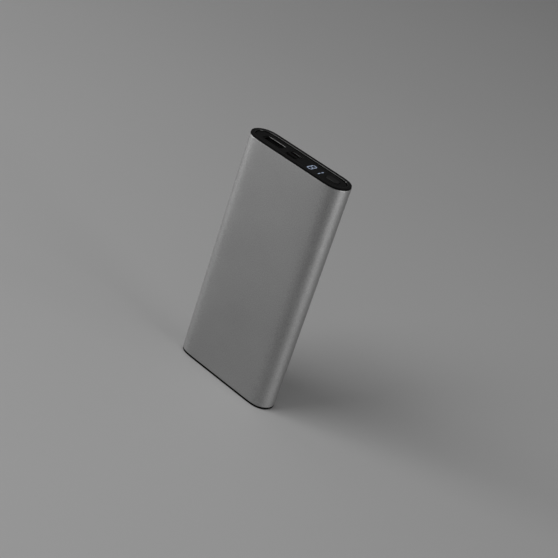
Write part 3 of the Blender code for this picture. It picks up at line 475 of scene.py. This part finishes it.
def makeCap():
    low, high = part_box("top_bezel")
    base = levels["tubeTop"] + cap["seam"]
    piece = oval("capRim", (low.x, low.y, base), high)
    drawIn(piece, facesDown, cap["plugInset"], levels["floorBase"] - base)
    drawIn(piece, facesUp, cap["rimWidth"], levels["floorTop"] - high.z)
    ringMiddle = high.y - cap["rimWidth"] / 2

    def outward(edge):
        return fromAxis(edgeMiddle(edge)) > ringMiddle

    def inward(edge):
        return fromAxis(edgeMiddle(edge)) < ringMiddle
    easeEdges(piece, (high.z,), cap["crown"], segments=4, test=outward)
    easeEdges(piece, (high.z,), cap["lip"], segments=5, test=inward)
    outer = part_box("tube_shell")[1].y - cap["skirtInset"]
    inner = outer - cap["skirtWall"]
    half, top = cap["skirtHalf"], levels["floorBase"] + cap["skirtBite"]
    for front, back in ((-outer, -inner), (inner, outer)):  # skirts that hold the plug square in the tube
        skirt = block("skirt", (-half, front, low.z), (half, back, top))
        combine(piece, skirt, "UNION")
    base, top = levels["floorBase"] - past, levels["floorTop"] + past
    large, small = grown("usb_a_shell", cap["fit"]), grown("usb_c_shell", cap["fit"])
    small[0][1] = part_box("micro_usb_shell")[0].y - cap["fit"]  # one gap takes both small sockets
    for corners in (large, small, grown("display_window", cap["fit"])):
        combine(piece, block("gap", *through(corners, base, top)), "DIFFERENCE")
    seat = through(grown("power_button", cap["fit"]), base, top)
    combine(piece, slab("gap", *seat, cap["seatCorner"], segments=12), "DIFFERENCE")
    # the cap's sides take the darker black: painted shade
    settle(piece, "sparkBlackPaintedShade", "case", "cap_plastic", "top_bezel")

    def onLip(face):
        spot = face.calc_center_median()
        tilted = cap["lipTilt"] < face.normal.z < endTilt
        return tilted and spot.z > high.z - cap["lip"] and fromAxis(spot) < ringMiddle

    def onRing(face):
        return facesUp(face) and face.calc_center_median().z > high.z - hair
    recoat(piece, "polishedBlackAbs", onLip)
    # the rim's top faces take a lighter black than the sides: painted light on the cap's top
    recoat(piece, "fineBlackAndPaintedLightRing", onRing)


makeCap()

# sunk panel with its cut-outs; all but the window's have a small moulded lead-in
panel = {
    "rimGap": 0.00025, "leadIn": 0.00016, "fit": 0.00015, "largeCorner": 0.00085, "microCorner": 0.001,
    "windowWidth": 0.0092, "windowHeight": 0.0078, "windowCorner": 0.0005, "windowGap": 0.00006,
    "windowNear": 0.0001,  # edges this close to the window belong to its cut-out
    "buttonLength": 0.0080, "buttonWidth": 0.0041, "buttonGap": 0.0003,
}


def cutFrontCorners(piece, chamfer):  # the micro socket's two cut-back corners
    front = min(v.co.y for v in piece.data.vertices)
    pick(piece, "EDGE", lambda edge: upright(edge) and abs(edge.verts[0].co.y - front) < hair)
    bpy.ops.mesh.bevel(offset=chamfer, segments=1, affect="EDGES")
    weld()


def makePanel():
    low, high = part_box("fascia_panel")
    corners = grown("fascia_panel", -panel["rimGap"])
    piece = oval("sunkPanel", *corners)
    base, top = low.z - past, high.z + past

    def opening(node):
        return through(grown(node, panel["fit"]), base, top)
    combine(piece, slab("gap", *opening("usb_a_shell"), panel["largeCorner"], segments=5), "DIFFERENCE")
    small = opening("usb_c_shell")
    combine(piece, slab("gap", *small, (small[1][1] - small[0][1]) / 2, segments=10), "DIFFERENCE")
    micro = block("gap", *opening("micro_usb_shell"))
    cutFrontCorners(micro, panel["microCorner"])
    combine(piece, micro, "DIFFERENCE")
    gap = panel["windowGap"]
    wide, tall = panel["windowWidth"] + 2 * gap, panel["windowHeight"] + 2 * gap
    pane = around(middle("display_window"), wide, tall, base, top)
    combine(piece, slab("gap", *pane, panel["windowCorner"] + gap, segments=5), "DIFFERENCE")
    ease = panel["buttonGap"]
    spot = (middle("power_button")[0], 0)
    press = around(spot, panel["buttonLength"] + 2 * ease, panel["buttonWidth"] + 2 * ease, base, top)
    combine(piece, slab("gap", *press, panel["buttonWidth"] / 2 + ease, segments=14), "DIFFERENCE")

    def plain(edge):  # the window sits flush, so its cut-out stays square
        near = panel["windowNear"]
        return not all(a - near < c < b + near for a, b, c in zip(*pane, edgeMiddle(edge).xy))
    easeEdges(piece, (high.z,), panel["leadIn"], test=plain)
    settle(piece, "fineBlackAndPaintedLightRing", "case", "fascia_plastic", "fascia_panel")


makePanel()
print("cap and panel made")

# smoked window: flush pane on a wider flange
window = {"edge": 0.00004}


def makeWindow():
    low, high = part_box("display_window")
    top = levels["floorTop"]
    wide, tall = panel["windowWidth"], panel["windowHeight"]
    pane = around(middle("display_window"), wide, tall, top - bite, high.z)
    piece = slab("smokedPane", *pane, panel["windowCorner"], segments=6)
    easeEdges(piece, (high.z,), window["edge"], segments=1)
    combine(piece, block("flange", low, (high.x, high.y, top)), "UNION")
    settle(piece, "smokedPolycarbonate", "case", "smoked_window", "display_window")


makeWindow()

# lit bars, behind the pane in the real one; laid 0.02 mm proud here so that they show from any side
digits = {
    "height": 0.0062, "width": 0.0031, "pitch": 0.0050, "shift": (0.00005, -0.00055),
    "stroke": 0.00055, "pointed": 0.98, "gaps": (0.0003, 0.00075), "proud": 0.00002,
    # a top, b upper right, c lower right, d bottom, e lower left, f upper left, g middle
    "shown": ("abcdefg", "bc"),
}


def makeBar(name, place, length, turned):
    x, y = place
    half, stroke = length / 2, digits["stroke"] / 2
    reach = (stroke, half) if turned else (half, stroke)
    z = levels["panelTop"]
    low, high = (x - reach[0], y - reach[1], z), (x + reach[0], y + reach[1], z + digits["proud"])
    return slab(name, low, high, stroke * digits["pointed"], segments=1)


def makeDigits():
    x, y = (a + b for a, b in zip(middle("display_window"), digits["shift"]))
    tall, wide = digits["height"] - digits["stroke"], digits["width"] - digits["stroke"]
    spots = {"a": (0, tall / 2, 0), "g": (0, 0, 0), "d": (0, -tall / 2, 0), "b": (wide / 2, tall / 4, 1),
             "c": (wide / 2, -tall / 4, 1), "f": (-wide / 2, tall / 4, 1), "e": (-wide / 2, -tall / 4, 1)}
    bars = []
    places = inRow(x, len(digits["shown"]), digits["pitch"])
    for place, shown, gap in zip(places, digits["shown"], digits["gaps"]):
        for key in shown:
            dx, dy, turned = spots[key]
            length = (tall / 2 if turned else wide) - gap
            bars.append(makeBar("bar", (place + dx, y + dy), length, turned))
    piece = joinUp("litDigits", bars)
    settle(piece, "litMilkAcrylic", "case", "diffuser")


makeDigits()

# pill button: soft edge, shallow finger dish, flange and stem
pressKey = {"edge": 0.0002, "dishInset": 0.0007, "dish": -0.00007,
            "flangeWidth": 0.0053, "flange": 0.0005, "stem": (0.0026, 0.0018)}


def makeButton():
    low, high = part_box("power_button")
    x = (low.x + high.x) / 2
    top = levels["floorTop"]
    body = around((x, 0), panel["buttonLength"], panel["buttonWidth"], top - bite, high.z)
    piece = slab("pillButton", *body, panel["buttonWidth"] / 2, segments=16)
    easeEdges(piece, (high.z,), pressKey["edge"], segments=5)
    pick(piece, "FACE", lambda face: facesUp(face) and face.calc_center_median().z > high.z - 10 * hair)
    bpy.ops.mesh.inset(thickness=pressKey["dishInset"], use_even_offset=True)
    bpy.ops.mesh.inset(thickness=pressKey["dishInset"] / 2, use_even_offset=True)
    bpy.ops.transform.translate(value=(0, 0, pressKey["dish"]))
    weld()
    wide = pressKey["flangeWidth"] / 2
    flangeLow = (low.x, -wide, top - pressKey["flange"])
    flange = slab("flange", flangeLow, (high.x, wide, top), wide, segments=12)
    combine(piece, flange, "UNION")
    stem = block("stem", *around(middle("switch_plunger"), *pressKey["stem"], low.z, top - 2 * bite))
    combine(piece, stem, "UNION")
    settle(piece, "handledBlackAbs", "button", "button_plastic", "power_button")


makeButton()
print("window, digits and button made")

# sockets: drawn shields with eased mouths; the large one has a sprung leaf in each of its four slots
ports = {
    "wall": 0.0003, "sunk": 0.00035, "largeCorner": 0.0007, "microCorner": 0.001,
    "largeMouth": 0.00014, "smallMouth": 0.00004,
    "flare": (0, 0.00008, 0.0001), "smallFlare": (0, 0.000024, 0.00003),
    # slots and leaves: off the middle and below the mouth; a leaf follows leafCurl of a half wave
    "slotAside": 0.0028, "slotWidth": 0.0022, "slotBase": 0.009, "slotTop": 0.0045, "slotReach": 0.02,
    "leafWidth": 0.0016, "leafLength": 0.0042, "leafThick": 0.0002, "leafBase": 0.0091,
    "leafBow": 0.0004, "leafCurl": 0.8, "leafCuts": 6,
}


def shieldBox(node):  # a shield's corners, its mouth drawn back a little from the panel
    low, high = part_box(node)
    high.z -= ports["sunk"]
    return low, high


def flareBack(piece, high, lift):  # the back of a mouth stands up, leans out a little and catches the light
    behind = high.y - ports["wall"]
    pick(piece, "FACE", lambda face: facesUp(face) and face.calc_center_median().y > behind)
    bpy.ops.mesh.extrude_region_move(TRANSFORM_OT_translate={"value": lift})
    weld()


def makeLeaf(x, y, top, way):  # one leaf, bowed into the socket
    base = top - ports["leafBase"]
    spot = around((x, y), ports["leafWidth"], ports["leafThick"], base, base + ports["leafLength"])
    leaf = block("leaf", *spot)
    pick(leaf, "EDGE", upright)
    bpy.ops.mesh.subdivide(number_cuts=ports["leafCuts"])
    bpy.ops.object.mode_set(mode="OBJECT")
    for v in leaf.data.vertices:
        along = (v.co.z - base) / ports["leafLength"]
        v.co.y -= way * ports["leafBow"] * math.sin(along * math.pi * ports["leafCurl"])
    return leaf


def makeLargeShield():
    low, high = shieldBox("usb_a_shell")
    piece = slab("largeShield", low, high, ports["largeCorner"], segments=6)
    openEnds(piece, ports["wall"])
    x = (low.x + high.x) / 2
    spots = [x + side * ports["slotAside"] for side in (-1, 1)]
    base, top = high.z - ports["slotBase"], high.z - ports["slotTop"]
    for spot in spots:
        slot = around((spot, 0), ports["slotWidth"], ports["slotReach"], base, top)
        combine(piece, block("slot", *slot), "DIFFERENCE")
    flareBack(piece, high, ports["flare"])
    easeEdges(piece, (high.z,), ports["largeMouth"])
    inWall = (high.y - low.y) / 2 - ports["wall"] / 2
    leaves = [makeLeaf(spot, way * inWall, high.z, way) for spot in spots for way in (-1, 1)]
    piece = joinUp("largeShield", [piece] + leaves)
    settle(piece, "nickelPlatedSteel", "case", "port_steel", "usb_a_shell")


# tongues on their bases; a pair is width and thickness
tongues = {
    "lift": 0.0009, "baseHeight": 0.0018,
    "largeHalf": 0.00555, "largeBack": 0.00055, "largeFront": 0.00005, "largeEdge": 0.0003,
    "largeCorner": 0.0004, "bladeEdge": 0.00009,
    "oval": (0.00669, 0.0007), "ovalEdge": 0.00012,
    "micro": (0.0037, 0.0006), "microShift": 0.00023, "microEdge": 0.0001, "microCorner": 0.0007,
}
# contact pads: width and thickness, how many in a row, spacing, distance off the tongue's middle, ends
pads = {
    "oval": (0.00027, 0.00003), "ovalCount": 12, "ovalPitch": 0.0005, "ovalOff": 0.00036, "ovalBase": 0.0036,
    "micro": (0.00032, 0.00004), "microCount": 5, "microPitch": 0.00065, "microOff": 0.00032,
    "fromTip": 0.0004, "edge": 0.00001,
}


def makeLargeTongue():
    low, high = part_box("usb_a_insulator")
    x, half = (low.x + high.x) / 2, tongues["largeHalf"]
    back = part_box("usb_a_shell")[1].y - ports["wall"] - tongues["largeBack"]
    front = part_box("usb_a_contact_1")[1].y + tongues["largeFront"]
    piece = block("largeTongue", (x - half, front, low.z + tongues["lift"]), (x + half, back, high.z))
    easeEdges(piece, (high.z,), tongues["largeEdge"])
    top = (high.x, high.y, low.z + tongues["baseHeight"])
    combine(piece, slab("base", low, top, tongues["largeCorner"], segments=4), "UNION")
    settle(piece, "blackLcp", "case", "insulator", "usb_a_insulator")
    for index in range(1, 5):
        node = f"usb_a_contact_{index}"
        low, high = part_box(node)
        blade = block(f"blade{index}", low, high)
        easeEdges(blade, (high.z,), tongues["bladeEdge"])
        settle(blade, "goldPlatedBrass", "case", "contact_gold", node)


def makePads(name, spots, size, base, top):
    row = []
    for spot in spots:
        pad = block("pad", *around(spot, *size, base, top))
        easeEdges(pad, (top,), pads["edge"], segments=1)
        row.append(pad)
    settle(joinUp(name, row), "goldPlatedBrass", "case", "contact_gold")


def makeOvalPort():
    low, high = shieldBox("usb_c_shell")
    piece = slab("ovalShield", low, high, (high.y - low.y) / 2, segments=14)
    openEnds(piece, ports["wall"])
    flareBack(piece, high, ports["smallFlare"])
    easeEdges(piece, (high.z,), ports["smallMouth"])
    settle(piece, "nickelPlatedSteel", "case", "port_steel", "usb_c_shell")
    x, y = middle("usb_c_shell")
    low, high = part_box("usb_c_insulator")
    piece = block("ovalTongue", *around((x, y), *tongues["oval"], low.z + tongues["lift"], high.z))
    easeEdges(piece, (high.z,), tongues["ovalEdge"])
    top = (high.x, high.y, low.z + tongues["baseHeight"])
    combine(piece, slab("base", low, top, (high.y - low.y) / 2, segments=10), "UNION")
    settle(piece, "blackLcp", "case", "insulator", "usb_c_insulator")
    row = inRow(x, pads["ovalCount"], pads["ovalPitch"])
    spots = [(place, y + way * pads["ovalOff"]) for way in (-1, 1) for place in row]
    makePads("ovalPads", spots, pads["oval"], high.z - pads["ovalBase"], high.z - pads["fromTip"])


def makeMicroPort():
    low, high = shieldBox("micro_usb_shell")
    piece = block("microShield", low, high)
    cutFrontCorners(piece, ports["microCorner"])
    openEnds(piece, ports["wall"])
    flareBack(piece, high, ports["smallFlare"])
    easeEdges(piece, (high.z,), ports["smallMouth"])
    settle(piece, "nickelPlatedSteel", "case", "port_steel", "micro_usb_shell")
    x, y = middle("micro_usb_shell")
    y += tongues["microShift"]
    low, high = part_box("micro_usb_insulator")
    piece = block("microTongue", *around((x, y), *tongues["micro"], low.z + tongues["lift"], high.z))
    easeEdges(piece, (high.z,), tongues["microEdge"])
    baseTop = low.z + tongues["baseHeight"]
    base = block("base", low, (high.x, high.y, baseTop))
    cutFrontCorners(base, tongues["microCorner"])
    combine(piece, base, "UNION")
    settle(piece, "blackLcp", "case", "insulator", "micro_usb_insulator")
    spots = [(place, y - pads["microOff"]) for place in inRow(x, pads["microCount"], pads["microPitch"])]
    makePads("microPads", spots, pads["micro"], baseTop, high.z - pads["fromTip"])


makeLargeShield()
makeLargeTongue()
makeOvalPort()
makeMicroPort()
print("sockets made")

# lower cover: eased foot edge, locating pad above
foot = {"edge": 0.0002, "padInset": 0.0025}


def makeFoot():
    low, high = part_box("bottom_cover")
    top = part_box("tube_shell")[0].z - cap["seam"]
    piece = oval("footCover", low, (high.x, high.y, top))
    drawIn(piece, facesUp, foot["padInset"], high.z - top)
    easeEdges(piece, (low.z,), foot["edge"], segments=5)
    # the foot takes the darker black: painted shade
    settle(piece, "sparkBlackPaintedShade", "case", "cap_plastic", "bottom_cover")


makeFoot()
print("foot made")

# hidden pieces keep their CAD solids and take a finish each
innerFinish = {
    "fascia_tape": "blackFoam", "cell_tape": "adhesiveFilm", "display_gasket": "blackFoam",
    "front_foam_pad": "blackFoam", "rear_foam_pad": "blackFoam", "display_housing": "darkTrayAbs",
    "segment_diffuser": "milkAcrylic", "switch_body": "darkTrayAbs", "switch_plunger": "darkTrayAbs",
    "main_board": "greenBoard", "inductor": "ferrite", "controller_chip": "chipEpoxy",
    "mosfet_1": "chipEpoxy", "mosfet_2": "chipEpoxy", "bulk_capacitor": "drawnAluminium",
    "ceramic_capacitor_1": "capCeramic", "ceramic_capacitor_2": "capCeramic",
    "insulation_sheet": "polyimideFilm", "inner_tray": "darkTrayAbs", "cell_front": "pouchLaminate",
    "cell_rear": "pouchLaminate", "positive_strip": "rolledNickel", "negative_strip": "rolledNickel",
    "positive_lead": "redSilicone", "negative_lead": "blackSilicone", "bottom_frame": "darkTrayAbs",
    "bezel_screw_left": "zincPlatedSteel", "bezel_screw_right": "zincPlatedSteel",
    "frame_screw_left": "zincPlatedSteel", "frame_screw_right": "zincPlatedSteel",
}
for node, skin in innerFinish.items():
    nodes[node].data.materials.clear()
    nodes[node].data.materials.append(made[skin])
print("inner pieces finished:", len(innerFinish))

# floor, lights and camera
studio = {
    "floorTone": ("#c4c4c4", "#cacaca"), "floorCloud": 1 / 3, "floorRough": 0.8, "floorShine": 0.2,
    "floorSize": 8.0, "floorLevel": -0.00005,  # a hair below the foot
    "ambient": 0.12,
    # name: place, aim, width, height, watts
    "lamps": {
        "front": ((-0.65, -0.97, 1.16), (0, 0, 0.05), 0.9, 0.9, 7.7),
        "overhead": ((-0.19, -0.51, 1.57), (0, 0, 0), 1.6, 1.6, 2.9),
        "farLeft": ((-2.16, -1.25, 0.29), (0, 0, 0.05), 0.7, 0.5, 27.0),
        "farRight": ((2.49, -0.09, 0.29), (0, 0, 0.05), 0.8, 0.5, 21.2),
        "backRight": ((2.37, 0.77, 0.29), (0, 0, 0.05), 0.6, 0.5, 7.1),
    },
}


def makeStudio():
    deselect()
    bpy.ops.mesh.primitive_plane_add(size=studio["floorSize"], location=(0, 0, studio["floorLevel"]))
    ground = bpy.context.object
    ground.name = "floor"
    paint, tree, place = newMaterial("paintedFloor")
    cloud = addNode(tree, "ShaderNodeTexNoise", {"Scale": 1 / studio["floorCloud"], "Detail": 2.0},
                    {"Vector": (place, "Object")})
    pale, paler = (toLinear(code) for code in studio["floorTone"])
    tone = addNode(tree, "ShaderNodeMix", {"data_type": "RGBA", 6: pale, 7: paler}, {0: (cloud, "Fac")})
    shader = addNode(tree, "ShaderNodeBsdfPrincipled",
                     {"Roughness": studio["floorRough"], "Specular IOR Level": studio["floorShine"]},
                     {"Base Color": (tone, 2)})
    addNode(tree, "ShaderNodeOutputMaterial", None, {"Surface": (shader, "BSDF")})
    ground.data.materials.append(paint)
    world = bpy.data.worlds.new("softRoom")
    bpy.context.scene.world = world
    world.use_nodes = True
    back = world.node_tree.nodes["Background"]
    back.inputs["Color"].default_value = (1.0, 1.0, 1.0, 1.0)
    back.inputs["Strength"].default_value = studio["ambient"]
    for name, (spot, aim, width, height, watts) in studio["lamps"].items():
        deselect()
        bpy.ops.object.light_add(type="AREA", location=spot)
        lamp = bpy.context.object
        lamp.name = lamp.data.name = name
        lamp.data.shape = "RECTANGLE"
        lamp.data.size, lamp.data.size_y = width, height
        lamp.data.energy = watts
        way = [b - a for a, b in zip(spot, aim)]
        yaw = math.atan2(-way[0], way[1])
        lamp.rotation_euler = (math.atan2(math.hypot(way[0], way[1]), -way[2]), 0, yaw)


makeStudio()

# solved from the photograph's outline: 21.9 degree view, rolled so that the bank leans to the right
shot = {"place": (0.38815, -0.57110, 0.42481), "turn": (61.357, -16.736, 42.340), "lens": 93.03,
        "sensor": 36.0, "near": 0.01}


def makeCamera():
    deselect()
    bpy.ops.object.camera_add(location=shot["place"], rotation=[math.radians(a) for a in shot["turn"]])
    eye = bpy.context.object
    eye.name = "photoCamera"
    eye.data.lens = shot["lens"]
    eye.data.sensor_width = shot["sensor"]
    eye.data.clip_start = shot["near"]
    bpy.context.scene.camera = eye
    bpy.context.scene.view_settings.view_transform = "Standard"
    bpy.context.scene.view_settings.look = "None"


makeCamera()
print("studio and camera set")
